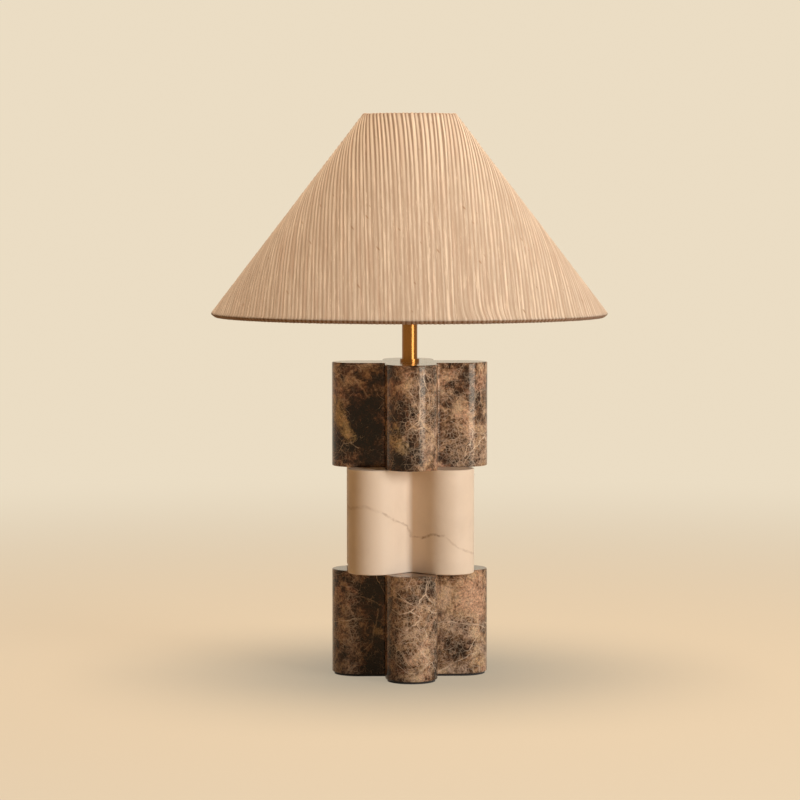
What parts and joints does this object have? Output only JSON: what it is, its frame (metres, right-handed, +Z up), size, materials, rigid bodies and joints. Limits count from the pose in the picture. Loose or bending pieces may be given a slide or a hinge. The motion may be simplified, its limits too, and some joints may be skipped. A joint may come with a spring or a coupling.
{
  "type": "marble table lamp",
  "caption": "Table lamp: a stack of cross-shaped stone blocks on a threaded rod, brass neck, screw lampholder with turn switch, bulb and wide conical ribbed cloth shade.",
  "frame": {"origin": "centre of the pad's underside, on the axis of the rod", "axes": "+Z up along the rod, -Y the front of the lamp, +Y the cord inlet, +X the switch knob"},
  "size_m": [0.3586, 0.3586, 0.5083],
  "materials": {
    "dark_marble": "polished",
    "cream_marble": "honed",
    "felt": "matte felt",
    "rubber": "matte",
    "plated_steel": "zinc plated",
    "satin_brass": "satin",
    "bright_brass": "bright",
    "holder_ceramic": "fired",
    "switch_plastic": "moulded",
    "bulb_diffuser": "frosted",
    "bulb_body": "moulded",
    "bulb_cap": "nickel plated",
    "black_insulator": "vitrite",
    "circuit_board": "solder mask",
    "white_wire": "powder coat",
    "shade_liner": "translucent",
    "shade_cloth": "ribbed slub weave"
  },
  "bodies": {
    "lamp": {"base_pad": "felt", "base_block": "dark_marble", "middle_block": "cream_marble", "top_block": "dark_marble", "cord_grommet": "rubber", "lamp_rod": "plated_steel", "base_washer": "plated_steel", "base_lock_washer": "plated_steel", "base_nut": "plated_steel", "neck_flange": "satin_brass", "neck_tube": "satin_brass", "neck_nut": "satin_brass", "holder_cap": "satin_brass", "cap_grub_screw": "plated_steel", "holder_core": "holder_ceramic", "terminal_screws": "plated_steel", "holder_shell": "satin_brass", "screw_shell": "bright_brass", "centre_contact": "bright_brass", "switch_bush": "satin_brass"},
    "switch": {"switch_shaft": "plated_steel", "switch_rotor": "switch_plastic", "switch_knob": "satin_brass"},
    "bulb": {"bulb_tip": "bright_brass", "bulb_tip_insulator": "black_insulator", "bulb_cap": "bulb_cap", "bulb_housing": "bulb_body", "bulb_diffuser": "bulb_diffuser", "led_board": "circuit_board", "driver_board": "circuit_board"},
    "shade": {"fitter_ring": "white_wire", "fitter_arms": "white_wire", "shade_top_ring": "white_wire", "shade_bottom_ring": "white_wire", "shade_liner": "shade_liner", "shade_cover_front": "shade_cloth", "shade_cover_back": "shade_cloth"},
    "clamp": {"clamp_ring": "satin_brass"}
  },
  "joints": [
    {"name": "switch_turn", "type": "hinge", "parent": "lamp", "child": "switch", "pos_m": [0, 0, 0.3741], "axis": [1, 0, 0], "continuous": true},
    {"name": "bulb_turn", "type": "hinge", "parent": "lamp", "child": "bulb", "pos_m": [0, 0, 0.3855], "axis": [0, 0, 1], "continuous": true},
    {"name": "shade_swivel", "type": "hinge", "parent": "lamp", "child": "shade", "pos_m": [0, 0, 0.39156], "axis": [0, 0, 1], "continuous": true},
    {"name": "clamp_turn", "type": "hinge", "parent": "lamp", "child": "clamp", "pos_m": [0, 0, 0.39316], "axis": [0, 0, 1], "continuous": true}
  ]
}
